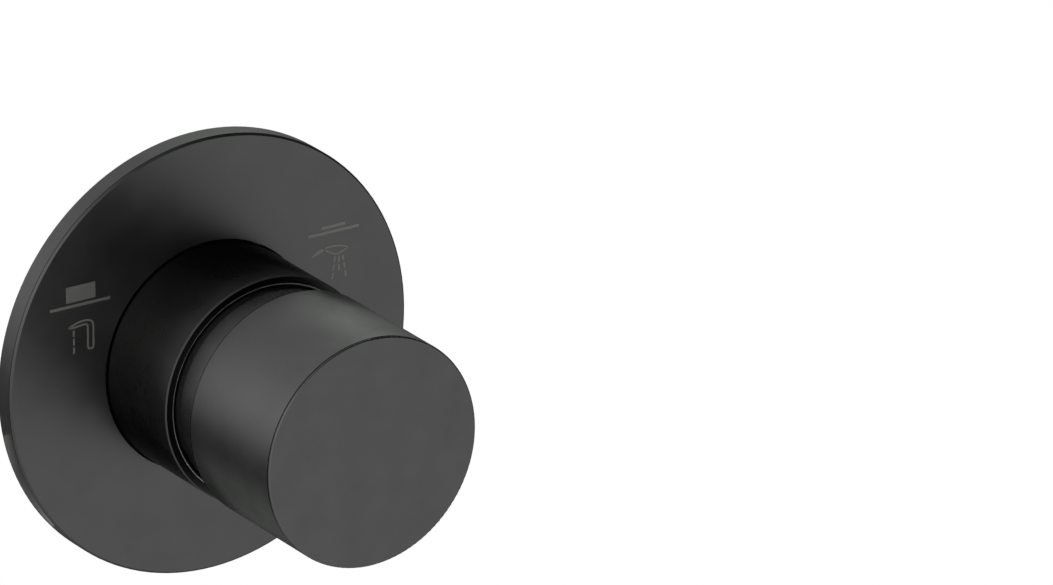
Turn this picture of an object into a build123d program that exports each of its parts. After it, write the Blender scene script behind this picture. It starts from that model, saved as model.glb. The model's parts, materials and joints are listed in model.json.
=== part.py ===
"""Concealed push-pull diverter valve with its round trim, for a bath spout and a hand shower.

The origin is the centre of the wall plate's back face, on the finished wall. The knob's axis runs along Y:
the knob stands out of the wall towards -Y, and the brass body lies in the wall towards +Y. +Z is up and the
supply comes in from +X. Lengths are in millimetres. A place called "..._at" is a distance out of the wall,
so what lies inside the wall has a negative place.
"""

from build123d import *
import math
import os

os.makedirs("parts", exist_ok=True)

# Wall plate
plate_diameter = 90.0
plate_thickness = 4.5
plate_face_wall = 2.2
plate_rim_width = 2.6
plate_hub_width = 4.0
plate_edge_chamfer = 0.4
plate_bore_clearance = 0.35
plate_groove_lip = 1.4
gasket_width = 9.0
gasket_clearance = 0.3

# Sleeve round the knob's neck: with the knob 46.6 across, worked out from the bonnet's flange outwards
sleeve_wall = 1.9
sleeve_projection = 26.0
sleeve_edge_chamfer = 0.25
sleeve_end_gap = 1.0

# Knob, drawn pulled out as it stands with the water off
knob_length = 28.4
knob_edge_radius = 0.3
knob_travel = 8.0
knob_stop_gap = 0.6
knob_front_wall = 4.5
knob_nose_depth = 20.0
knob_nose_shoulder = 2.1
neck_clearance = 0.3
neck_wall = 3.5
neck_length = 22.0
guide_ring_width = 3.0
guide_ring_depth = 0.95
guide_ring_setback = 1.5
guide_ring_slit = 0.8
slide_clearance = 0.1
grub_screw_diameter = 5.0
grub_screw_socket = 2.5
grub_screw_socket_depth = 2.2
grub_screw_setback = 4.3
grub_groove_depth = 1.5
grub_groove_width = 5.6
screw_tip_chamfer = 0.5

# Adapter that joins the knob to the spindle
fit_clearance = 0.1
adapter_length = 18.0
adapter_hub_diameter = 20.0
adapter_rim_width = 4.0
adapter_pocket_depth = 10.0
adapter_web = 1.5
adapter_screw_diameter = 5.0
adapter_screw_length = 12.0
adapter_screw_head_diameter = 8.5
adapter_screw_head_height = 4.0
adapter_screw_socket = 4.0
adapter_screw_socket_depth = 2.4
adapter_screw_pocket_depth = 5.0
adapter_screw_head_rounding = 0.4
screw_hole_runout = 1.0

# Spindle
spindle_diameter = 8.0
serration_count = 20
serration_depth = 0.45
serration_runout = 1.0
serration_clearance = 0.06
spindle_flats = 6.5
spindle_collar_diameter = 11.6
spindle_collar_length = 2.5
spindle_tail_diameter = 6.0
spindle_tail_overhang = 1.2
spindle_tail_chamfer = 0.5
spindle_flats_runout = 0.2
spindle_end_gap = 0.1
running_clearance = 0.06
o_ring_clearance = 0.06
thread_clearance = 0.08

# Valve disc with its two rubber washers
disc_diameter = 20.4
disc_web = 3.0
disc_rim_width = 0.9
disc_rim_height = 1.4
washer_thickness = 2.0
seat_clearance = 0.1
back_washer_thickness = 1.0
back_washer_diameter = 11.0
disc_nut_flats = 10.0
disc_nut_height = 3.5

# Seats
seat_bore_diameter = 14.4
seat_lip_width = 1.2
seat_lip_height = 0.5

# Gland nut and packing
gland_front_at = 4.0
gland_flange_diameter = 19.0
gland_flange_thickness = 2.0
gland_thread_diameter = 16.0
gland_thread_length = 11.0
gland_keyed_length = 6.0
gland_slot_width = 2.5
gland_slot_depth = 1.2
packing_washer_thickness = 1.2
packing_ring_section = 2.0
packing_ring_count = 2
packing_slack = 0.1

# Return spring
spring_wire = 1.4
spring_mean_diameter = 15.6
spring_turns = 6.5

# Bonnet
bonnet_neck_diameter = 22.0
bonnet_hex_flats = 27.0
bonnet_hex_height = 5.0
bonnet_flange_diameter = 33.0
bonnet_flange_thickness = 1.5
bonnet_shank_diameter = 28.2
bonnet_thread_diameter = 28.0
bonnet_thread_length = 7.0
bonnet_ring_section = 2.0
bonnet_groove_depth = 1.1
bonnet_edge_chamfer = 0.5
bonnet_cage_diameter = 22.0
bonnet_cage_bore_diameter = 16.4
bonnet_window_width = 8.0
bonnet_window_margin = 1.5
bonnet_tail_diameter = 24.8
bonnet_tail_length = 3.5
bonnet_tail_ring_section = 1.5
groove_room = 0.4

# Carrier that holds the sleeve on the bonnet
carrier_flange_thickness = 2.0
carrier_room = 0.78
carrier_wall = 2.2
carrier_length = 12.0
carrier_ring_section = 1.8
carrier_ring_count = 2
carrier_ring_spacing = 4.2

# Cast valve body
body_front_depth = 16.0
body_diameter = 36.0
mouth_depth = 3.0
front_chamber_diameter = 28.0
front_chamber_length = 10.5
rear_seat_web = 3.5
rear_chamber_diameter = 22.0
rear_chamber_length = 15.0
rear_wall = 8.5
port_boss_diameter = 26.0
port_bead_height = 1.5
port_bead_length = 5.5
port_bead_rounding = 1.0
port_reach = 34.0
port_thread_diameter = 21.0
port_thread_length = 14.0
port_passage_diameter = 14.0
port_mouth_chamfer = 1.0
shower_passage_diameter = 9.6
casting_fillet = 1.5
casting_chamfer = 0.6

# Feet that screw to the wall's frame
foot_spacing = 48.0
foot_width = 14.0
foot_thickness = 5.0
foot_pad_diameter = 11.5
foot_pad_height = 1.0
foot_hole_diameter = 5.5

# A half section is drawn with the radius to the right and the distance out of the wall upwards.
half_section = Plane(origin=(0, 0, 0), x_dir=(1, 0, 0), z_dir=(0, 0, -1))


def facing_out(out_at):
    """The plane across the axis at a distance out of the wall, seen from the front."""
    return Plane.XZ.offset(out_at)


def save(piece, name):
    """Labels a finished piece and writes it as a STEP file."""
    piece.part.label = name
    export_step(piece.part, f"parts/{name}.step")


# Places along the axis, worked out from the sizes above
plate_radius = plate_diameter / 2
carrier_recess_radius = bonnet_flange_diameter / 2 + carrier_room
carrier_groove_radius = carrier_recess_radius + carrier_wall
sleeve_bore_radius = carrier_groove_radius + carrier_ring_section + 2 * o_ring_clearance
sleeve_radius = sleeve_bore_radius + sleeve_wall
knob_radius = sleeve_radius
neck_radius = sleeve_bore_radius - neck_clearance
knob_bore_radius = neck_radius - neck_wall
knob_nose_bore_radius = knob_bore_radius - knob_nose_shoulder
knob_rear_at = sleeve_projection + knob_travel + knob_stop_gap
knob_front_at = knob_rear_at + knob_length
neck_rear_at = knob_rear_at - neck_length
adapter_front_at = knob_front_at - knob_nose_depth
adapter_rear_at = adapter_front_at - adapter_length
spindle_front_at = adapter_front_at - adapter_screw_pocket_depth - adapter_web - spindle_end_gap
grub_screw_at = knob_rear_at - grub_screw_setback

body_front_at = -body_front_depth
carrier_front_at = body_front_at + carrier_length
bonnet_flange_at = body_front_at + carrier_flange_thickness
gland_thread_end_at = gland_front_at - gland_flange_thickness - gland_thread_length
packing_step = packing_ring_section + packing_slack
packing_depth = packing_washer_thickness + packing_ring_count * packing_step + packing_slack
packing_end_at = gland_thread_end_at - packing_depth
front_chamber_at = body_front_at - mouth_depth - bonnet_thread_length
bonnet_tail_at = front_chamber_at - front_chamber_length
front_seat_at = bonnet_tail_at - bonnet_tail_length
disc_thickness = disc_web + 2 * washer_thickness
rear_seat_at = front_seat_at - disc_thickness - knob_travel - 2 * seat_clearance
rear_chamber_at = rear_seat_at - rear_seat_web
rear_chamber_end_at = rear_chamber_at - rear_chamber_length
body_rear_at = rear_chamber_end_at - rear_wall

disc_front_at = front_seat_at - seat_clearance
disc_web_front_at = disc_front_at - washer_thickness
disc_web_rear_at = disc_web_front_at - disc_web
disc_rear_at = disc_web_rear_at - washer_thickness
nut_front_at = disc_rear_at - back_washer_thickness
nut_rear_at = nut_front_at - disc_nut_height

shower_port_at = front_chamber_at - front_chamber_length / 2
inlet_port_at = (front_seat_at + rear_seat_at) / 2
spout_port_at = rear_chamber_at - rear_chamber_length / 2


def ring(inner_radius, outer_radius, rear_at, front_at):
    """A plain turned ring, as a part that a piece can start from."""
    with BuildPart() as turned:
        with BuildSketch(facing_out(rear_at)):
            Circle(outer_radius)
            Circle(inner_radius, mode=Mode.SUBTRACT)
        extrude(amount=front_at - rear_at)
    return turned


def o_ring(name, inner_radius, section, middle_at):
    """A rubber ring of round section, lying across the axis."""
    with BuildPart() as rubber:
        with BuildSketch(half_section):
            with Locations((inner_radius + section / 2, middle_at)):
                Circle(section / 2)
        revolve(axis=Axis.Y)
    save(rubber, name)


# Wall plate: a turned disc, hollow behind, with a full-depth rim and a grooved hub round the sleeve
plate_bore_radius = sleeve_radius + plate_bore_clearance
plate_hub_radius = plate_bore_radius + plate_hub_width
plate_recess_depth = plate_thickness - plate_face_wall
plate_recess_radius = plate_radius - plate_rim_width
plate_ring_section = 1.8
plate_groove_radius = sleeve_radius + plate_ring_section + 2 * o_ring_clearance
plate_groove_width = plate_ring_section + groove_room
plate_groove_front_at = plate_thickness - plate_groove_lip
with BuildPart() as wall_plate:
    with BuildSketch(facing_out(0)):
        Circle(plate_radius)
        Circle(plate_bore_radius, mode=Mode.SUBTRACT)
    extrude(amount=plate_thickness)
    rim_edge = wall_plate.faces().sort_by(Axis.Y)[0].edges().sort_by(SortBy.LENGTH)[-1]
    chamfer(rim_edge, length=plate_edge_chamfer)
    with BuildSketch(facing_out(0)):
        Circle(plate_recess_radius)
        Circle(plate_hub_radius, mode=Mode.SUBTRACT)
    extrude(amount=plate_recess_depth, mode=Mode.SUBTRACT)
    with BuildSketch(facing_out(plate_groove_front_at - plate_groove_width)):
        Circle(plate_groove_radius)
    extrude(amount=plate_groove_width, mode=Mode.SUBTRACT)
save(wall_plate, "wall_plate")

plate_ring_at = plate_groove_front_at - plate_groove_width / 2
o_ring("plate_o_ring", sleeve_radius + o_ring_clearance, plate_ring_section, plate_ring_at)

# Flat foam gasket in the plate's hollow back, which seals it to the tile
gasket_radius = plate_recess_radius - gasket_clearance
plate_gasket = ring(gasket_radius - gasket_width, gasket_radius, 0, plate_recess_depth)
save(plate_gasket, "plate_gasket")

# Sleeve: a thin tube that covers the bonnet and guides the knob's neck
sleeve_rear_at = body_front_at + sleeve_end_gap
with BuildPart() as sleeve:
    with BuildSketch(facing_out(sleeve_rear_at)):
        Circle(sleeve_radius)
        Circle(sleeve_bore_radius, mode=Mode.SUBTRACT)
    extrude(amount=sleeve_projection - sleeve_rear_at)
    chamfer(sleeve.faces().sort_by(Axis.Y)[0].edges(), length=sleeve_edge_chamfer)
    chamfer(sleeve.faces().sort_by(Axis.Y)[-1].edges(), length=sleeve_edge_chamfer)
save(sleeve, "sleeve")

# Sleeve carrier: a flanged ring clamped between the bonnet and the body, with rings that grip the sleeve
carrier_radius = sleeve_bore_radius - fit_clearance
carrier_bore_radius = bonnet_shank_diameter / 2 + fit_clearance
carrier_groove_width = carrier_ring_section + groove_room
carrier_grooves_at = [
    carrier_front_at - carrier_groove_width - index * carrier_ring_spacing for index in range(carrier_ring_count)
]
with BuildPart() as sleeve_carrier:
    with BuildSketch(facing_out(body_front_at)):
        Circle(carrier_radius)
        Circle(carrier_bore_radius, mode=Mode.SUBTRACT)
    extrude(amount=carrier_length)
    with BuildSketch(facing_out(bonnet_flange_at)):
        Circle(carrier_recess_radius)
    extrude(amount=carrier_length, mode=Mode.SUBTRACT)
    for groove_middle_at in carrier_grooves_at:
        with BuildSketch(facing_out(groove_middle_at - carrier_groove_width / 2)):
            Circle(carrier_radius + carrier_wall)
            Circle(carrier_groove_radius, mode=Mode.SUBTRACT)
        extrude(amount=carrier_groove_width, mode=Mode.SUBTRACT)
save(sleeve_carrier, "sleeve_carrier")
for index, groove_middle_at in enumerate(carrier_grooves_at, start=1):
    ring_inner_radius = sleeve_bore_radius - o_ring_clearance - carrier_ring_section
    o_ring(f"carrier_o_ring_{index}", ring_inner_radius, carrier_ring_section, groove_middle_at)

# Knob: one turned cup, with a neck that slides in the sleeve
guide_ring_inner_radius = neck_radius - guide_ring_depth
guide_groove_rear_at = neck_rear_at + guide_ring_setback
with BuildPart() as knob:
    with BuildSketch(facing_out(neck_rear_at)):
        Circle(neck_radius)
    extrude(amount=neck_length)
    with BuildSketch(facing_out(knob_rear_at)):
        Circle(knob_radius)
    extrude(amount=knob_length)
    fillet(knob.faces().sort_by(Axis.Y)[0].edges(), radius=knob_edge_radius)
    rear_shoulder = knob.faces().filter_by(Axis.Y).sort_by(Axis.Y)[1]
    chamfer(rear_shoulder.edges().sort_by(SortBy.LENGTH)[-1], length=knob_edge_radius)
    with BuildSketch(facing_out(neck_rear_at)):
        Circle(knob_bore_radius)
    extrude(amount=adapter_front_at - neck_rear_at, mode=Mode.SUBTRACT)
    with BuildSketch(facing_out(adapter_front_at)):
        Circle(knob_nose_bore_radius)
    extrude(amount=knob_nose_depth - knob_front_wall, mode=Mode.SUBTRACT)
    with BuildSketch(facing_out(guide_groove_rear_at)):
        Circle(knob_radius)
        Circle(guide_ring_inner_radius, mode=Mode.SUBTRACT)
    extrude(amount=guide_ring_width, mode=Mode.SUBTRACT)
    with BuildSketch(Plane.XY):
        with Locations((0, -grub_screw_at)):
            Circle(grub_screw_diameter / 2)
    extrude(amount=-knob_radius, mode=Mode.SUBTRACT)
save(knob, "knob")

# Guide ring: a slit plastic band in the neck's groove
guide_ring_radius = sleeve_bore_radius - slide_clearance
with BuildPart() as neck_guide_ring:
    with BuildSketch(facing_out(guide_groove_rear_at + slide_clearance)):
        Circle(guide_ring_radius)
        Circle(guide_ring_inner_radius + slide_clearance / 2, mode=Mode.SUBTRACT)
    extrude(amount=guide_ring_width - 2 * slide_clearance)
    with BuildSketch(Plane.XY):
        with Locations((0, -(guide_groove_rear_at + guide_ring_width / 2))):
            Rectangle(guide_ring_slit, 2 * guide_ring_width)
    extrude(amount=2 * guide_ring_radius, mode=Mode.SUBTRACT)
save(neck_guide_ring, "neck_guide_ring")

# Grub screw in the underside of the neck, with a hexagon socket and a cupped tip
grub_tip_from_axis = knob_bore_radius - grub_groove_depth
grub_head_from_axis = neck_radius - fit_clearance
with BuildPart() as grub_screw:
    with BuildSketch(Plane.XY.offset(-grub_head_from_axis)):
        with Locations((0, -grub_screw_at)):
            Circle(grub_screw_diameter / 2 - thread_clearance)
    extrude(amount=grub_head_from_axis - grub_tip_from_axis)
    chamfer(grub_screw.faces().sort_by(Axis.Z)[-1].edges(), length=screw_tip_chamfer)
    with BuildSketch(Plane.XY.offset(-grub_head_from_axis)):
        with Locations((0, -grub_screw_at)):
            RegularPolygon(grub_screw_socket / 2, 6, major_radius=False)
    extrude(amount=grub_screw_socket_depth, mode=Mode.SUBTRACT)
save(grub_screw, "grub_screw")


def serrations(growth):
    """The spindle's star-shaped outline, grown outwards by a clearance."""
    tip_radius = spindle_diameter / 2 + growth
    root_radius = tip_radius - serration_depth
    step = math.pi / serration_count
    corners = []
    for corner in range(2 * serration_count):
        radius = root_radius if corner % 2 else tip_radius
        corners.append((radius * math.cos(corner * step), radius * math.sin(corner * step)))
    return corners


# Handle adapter: a turned hub and rim, with a serrated bore for the spindle and a groove for the grub screw
adapter_radius = knob_bore_radius - fit_clearance
with BuildPart() as handle_adapter:
    with BuildSketch(facing_out(adapter_rear_at)):
        Circle(adapter_radius)
    extrude(amount=adapter_length)
    with BuildSketch(facing_out(adapter_rear_at)):
        Circle(adapter_radius - adapter_rim_width)
        Circle(adapter_hub_diameter / 2, mode=Mode.SUBTRACT)
    extrude(amount=adapter_pocket_depth, mode=Mode.SUBTRACT)
    with BuildSketch(facing_out(grub_screw_at - grub_groove_width / 2)):
        Circle(knob_radius)
        Circle(adapter_radius - grub_groove_depth, mode=Mode.SUBTRACT)
    extrude(amount=grub_groove_width, mode=Mode.SUBTRACT)
    with BuildSketch(facing_out(adapter_rear_at)):
        with BuildLine():
            Polyline(serrations(serration_clearance), close=True)
        make_face()
    extrude(amount=spindle_front_at + spindle_end_gap - adapter_rear_at, mode=Mode.SUBTRACT)
    with BuildSketch(facing_out(spindle_front_at)):
        Circle(adapter_screw_diameter / 2 + fit_clearance)
    extrude(amount=adapter_length, mode=Mode.SUBTRACT)
    with BuildSketch(facing_out(adapter_front_at - adapter_screw_pocket_depth)):
        Circle(adapter_screw_head_diameter / 2 + 2 * fit_clearance)
    extrude(amount=adapter_screw_pocket_depth, mode=Mode.SUBTRACT)
save(handle_adapter, "handle_adapter")

# Adapter screw: a socket-head screw into the spindle's end
screw_seat_at = adapter_front_at - adapter_screw_pocket_depth
screw_head_at = screw_seat_at + adapter_screw_head_height
with BuildPart() as adapter_screw:
    with BuildSketch(facing_out(screw_seat_at)):
        Circle(adapter_screw_head_diameter / 2)
    extrude(amount=adapter_screw_head_height)
    fillet(adapter_screw.faces().sort_by(Axis.Y)[0].edges(), radius=adapter_screw_head_rounding)
    with BuildSketch(facing_out(screw_seat_at - adapter_screw_length)):
        Circle(adapter_screw_diameter / 2 - thread_clearance)
    extrude(amount=adapter_screw_length)
    chamfer(adapter_screw.faces().sort_by(Axis.Y)[-1].edges(), length=screw_tip_chamfer)
    with BuildSketch(facing_out(screw_head_at - adapter_screw_socket_depth)):
        RegularPolygon(adapter_screw_socket / 2, 6, major_radius=False)
    extrude(amount=adapter_screw_socket_depth, mode=Mode.SUBTRACT)
save(adapter_screw, "adapter_screw")

# Spindle: serrated nose, round shank with two flats for the keyed gland, collar and threaded tail
spindle_radius = spindle_diameter / 2
serration_end_at = adapter_rear_at - serration_runout
flats_front_at = gland_front_at + knob_travel + spindle_flats_runout
flats_rear_at = gland_front_at - gland_keyed_length - spindle_flats_runout
collar_front_at = disc_front_at + spindle_collar_length
tail_end_at = nut_rear_at - spindle_tail_overhang
screw_hole_depth = adapter_screw_length - adapter_web - spindle_end_gap + screw_hole_runout
with BuildPart() as spindle:
    with BuildSketch(facing_out(serration_end_at)):
        with BuildLine():
            Polyline(serrations(0), close=True)
        make_face()
    extrude(amount=spindle_front_at - serration_end_at)
    with BuildSketch(facing_out(disc_front_at)):
        Circle(spindle_radius)
    extrude(amount=serration_end_at - disc_front_at)
    with BuildSketch(facing_out(flats_rear_at)):
        Circle(spindle_diameter)
        Rectangle(2 * spindle_diameter, spindle_flats, mode=Mode.SUBTRACT)
    extrude(amount=flats_front_at - flats_rear_at, mode=Mode.SUBTRACT)
    with BuildSketch(facing_out(disc_front_at)):
        Circle(spindle_collar_diameter / 2)
    extrude(amount=spindle_collar_length)
    with BuildSketch(facing_out(tail_end_at)):
        Circle(spindle_tail_diameter / 2)
    extrude(amount=disc_front_at - tail_end_at)
    chamfer(spindle.faces().sort_by(Axis.Y)[-1].edges(), length=spindle_tail_chamfer)
    with BuildSketch(facing_out(spindle_front_at - screw_hole_depth)):
        Circle(adapter_screw_diameter / 2)
    extrude(amount=screw_hole_depth, mode=Mode.SUBTRACT)
save(spindle, "spindle")

# Valve disc: a brass plate with a low rim on both sides, which holds a rubber washer on each face
disc_radius = disc_diameter / 2
disc_bore_radius = spindle_tail_diameter / 2 + running_clearance
disc_pocket_radius = disc_radius - disc_rim_width
with BuildPart() as valve_disc:
    with BuildSketch(facing_out(disc_web_rear_at - disc_rim_height)):
        Circle(disc_radius)
    extrude(amount=disc_web + 2 * disc_rim_height)
    for pocket_at in (disc_web_rear_at - disc_rim_height, disc_web_front_at):
        with BuildSketch(facing_out(pocket_at)):
            Circle(disc_pocket_radius)
        extrude(amount=disc_rim_height, mode=Mode.SUBTRACT)
    with BuildSketch(facing_out(disc_web_rear_at)):
        Circle(disc_bore_radius)
    extrude(amount=disc_web, mode=Mode.SUBTRACT)
save(valve_disc, "valve_disc")

seat_washer_radius = disc_pocket_radius - fit_clearance
front_seat_washer = ring(disc_bore_radius, seat_washer_radius, disc_web_front_at, disc_front_at)
save(front_seat_washer, "front_seat_washer")
rear_seat_washer = ring(disc_bore_radius, seat_washer_radius, disc_rear_at, disc_web_rear_at)
save(rear_seat_washer, "rear_seat_washer")
back_washer = ring(disc_bore_radius, back_washer_diameter / 2, nut_front_at, disc_rear_at)
save(back_washer, "back_washer")

# Nut that clamps the disc against the spindle's collar
with BuildPart() as disc_nut:
    with BuildSketch(facing_out(nut_rear_at)):
        RegularPolygon(disc_nut_flats / 2, 6, major_radius=False)
        Circle(spindle_tail_diameter / 2 + thread_clearance, mode=Mode.SUBTRACT)
    extrude(amount=disc_nut_height)
save(disc_nut, "disc_nut")

# Gland nut: its front bore is keyed to the spindle's flats, and its slots take a pin spanner
gland_bore_radius = spindle_radius + fit_clearance
gland_thread_radius = gland_thread_diameter / 2
gland_flange_rear_at = gland_front_at - gland_flange_thickness
with BuildPart() as gland_nut:
    with BuildSketch(facing_out(gland_flange_rear_at)):
        Circle(gland_flange_diameter / 2)
    extrude(amount=gland_flange_thickness)
    with BuildSketch(facing_out(gland_thread_end_at)):
        Circle(gland_thread_radius - thread_clearance)
    extrude(amount=gland_thread_length)
    with BuildSketch(facing_out(gland_thread_end_at)):
        Circle(gland_bore_radius)
    extrude(amount=gland_thread_length + gland_flange_thickness - gland_keyed_length, mode=Mode.SUBTRACT)
    with BuildSketch(facing_out(gland_front_at - gland_keyed_length)):
        Circle(spindle_radius + running_clearance)
        Rectangle(
            2 * spindle_diameter, spindle_flats + 2 * running_clearance, mode=Mode.INTERSECT
        )
    extrude(amount=gland_keyed_length, mode=Mode.SUBTRACT)
    with BuildSketch(facing_out(gland_flange_rear_at)):
        with PolarLocations(gland_flange_diameter / 2, 4):
            Rectangle(2 * gland_slot_depth, gland_slot_width)
    extrude(amount=gland_flange_thickness, mode=Mode.SUBTRACT)
save(gland_nut, "gland_nut")

# Packing in the bonnet's front: a washer and two rings round the spindle
packing_radius = spindle_radius + packing_ring_section + 2 * o_ring_clearance
packing_washer = ring(
    spindle_radius + running_clearance,
    packing_radius - running_clearance,
    gland_thread_end_at - packing_washer_thickness,
    gland_thread_end_at,
)
save(packing_washer, "packing_washer")
for index in range(packing_ring_count):
    ring_at = gland_thread_end_at - packing_washer_thickness - (index + 0.5) * packing_step
    o_ring(f"spindle_o_ring_{index + 1}", spindle_radius + o_ring_clearance, packing_ring_section, ring_at)

# Return spring: pushes the knob back out, between the gland's flange and the adapter
spring_length = adapter_rear_at - gland_front_at
spring_pitch = spring_length / spring_turns
with BuildPart() as return_spring:
    with BuildLine():
        coil = Helix(
            pitch=spring_pitch,
            height=spring_length,
            radius=spring_mean_diameter / 2,
            center=(0, -gland_front_at, 0),
            direction=(0, -1, 0),
        )
    with BuildSketch(Plane(origin=coil @ 0, z_dir=coil % 0)):
        Circle(spring_wire / 2)
    sweep(path=coil)
    with BuildSketch(facing_out(gland_front_at)):
        Circle(spring_mean_diameter)
    extrude(amount=spring_length, mode=Mode.INTERSECT)
save(return_spring, "return_spring")

# Bonnet: screws into the body, seals the spindle, and ends in a windowed cage with the front seat
bonnet_front_at = gland_flange_rear_at
bonnet_hex_at = bonnet_flange_at + bonnet_flange_thickness
bonnet_groove_radius = bonnet_shank_diameter / 2 - bonnet_groove_depth
bonnet_groove_front_at = body_front_at - groove_room
bonnet_groove_width = bonnet_ring_section + groove_room
bonnet_thread_at = body_front_at - mouth_depth
bonnet_tail_radius = bonnet_tail_diameter / 2
bonnet_tail_groove_radius = bonnet_tail_radius - bonnet_tail_ring_section
seat_bore_radius = seat_bore_diameter / 2
tail_groove_middle_at = (bonnet_tail_at + front_seat_at + seat_lip_height) / 2
tail_groove_width = bonnet_tail_ring_section + groove_room
with BuildPart() as bonnet:
    with BuildSketch(facing_out(bonnet_flange_at)):
        Circle(bonnet_neck_diameter / 2)
    extrude(amount=bonnet_front_at - bonnet_flange_at)
    chamfer(bonnet.faces().sort_by(Axis.Y)[0].edges(), length=bonnet_edge_chamfer)
    with BuildSketch(facing_out(bonnet_hex_at)):
        RegularPolygon(bonnet_hex_flats / 2, 6, major_radius=False)
    extrude(amount=bonnet_hex_height)
    with BuildSketch(facing_out(bonnet_flange_at)):
        Circle(bonnet_flange_diameter / 2)
    extrude(amount=bonnet_flange_thickness)
    with BuildSketch(facing_out(bonnet_thread_at)):
        Circle(bonnet_shank_diameter / 2)
    extrude(amount=bonnet_flange_at - bonnet_thread_at)
    with BuildSketch(facing_out(bonnet_groove_front_at - bonnet_groove_width)):
        Circle(bonnet_flange_diameter)
        Circle(bonnet_groove_radius, mode=Mode.SUBTRACT)
    extrude(amount=bonnet_groove_width, mode=Mode.SUBTRACT)
    with BuildSketch(facing_out(front_chamber_at)):
        Circle(bonnet_thread_diameter / 2 - thread_clearance)
    extrude(amount=bonnet_thread_length)
    with BuildSketch(facing_out(bonnet_tail_at)):
        Circle(bonnet_cage_diameter / 2)
    extrude(amount=front_chamber_length)
    with BuildSketch(facing_out(front_seat_at + seat_lip_height)):
        Circle(bonnet_tail_radius)
    extrude(amount=bonnet_tail_length - seat_lip_height)
    with BuildSketch(facing_out(front_seat_at)):
        Circle(seat_bore_radius + seat_lip_width)
    extrude(amount=seat_lip_height)
    with BuildSketch(facing_out(tail_groove_middle_at - tail_groove_width / 2)):
        Circle(bonnet_flange_diameter)
        Circle(bonnet_tail_groove_radius, mode=Mode.SUBTRACT)
    extrude(amount=tail_groove_width, mode=Mode.SUBTRACT)
    with BuildSketch(facing_out(gland_thread_end_at)):
        Circle(gland_thread_radius)
    extrude(amount=gland_thread_length, mode=Mode.SUBTRACT)
    with BuildSketch(facing_out(packing_end_at)):
        Circle(packing_radius)
    extrude(amount=packing_depth, mode=Mode.SUBTRACT)
    with BuildSketch(facing_out(front_chamber_at)):
        Circle(spindle_radius + running_clearance)
    extrude(amount=packing_end_at - front_chamber_at, mode=Mode.SUBTRACT)
    with BuildSketch(facing_out(bonnet_tail_at)):
        Circle(bonnet_cage_bore_diameter / 2)
    extrude(amount=front_chamber_length, mode=Mode.SUBTRACT)
    with BuildSketch(facing_out(front_seat_at)):
        Circle(seat_bore_radius)
    extrude(amount=bonnet_tail_length, mode=Mode.SUBTRACT)
    for window_plane in (Plane.XY, Plane.ZY):
        with BuildSketch(window_plane):
            with Locations((0, -(bonnet_tail_at + front_chamber_length / 2))):
                Rectangle(bonnet_window_width, front_chamber_length - 2 * bonnet_window_margin)
        extrude(amount=bonnet_cage_diameter, both=True, mode=Mode.SUBTRACT)
save(bonnet, "bonnet")

bonnet_ring_at = bonnet_groove_front_at - bonnet_groove_width / 2
o_ring("bonnet_o_ring", bonnet_groove_radius + o_ring_clearance, bonnet_ring_section, bonnet_ring_at)
tail_ring_inner_radius = bonnet_tail_groove_radius + o_ring_clearance
o_ring("bonnet_tail_o_ring", tail_ring_inner_radius, bonnet_tail_ring_section, tail_groove_middle_at)

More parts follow.
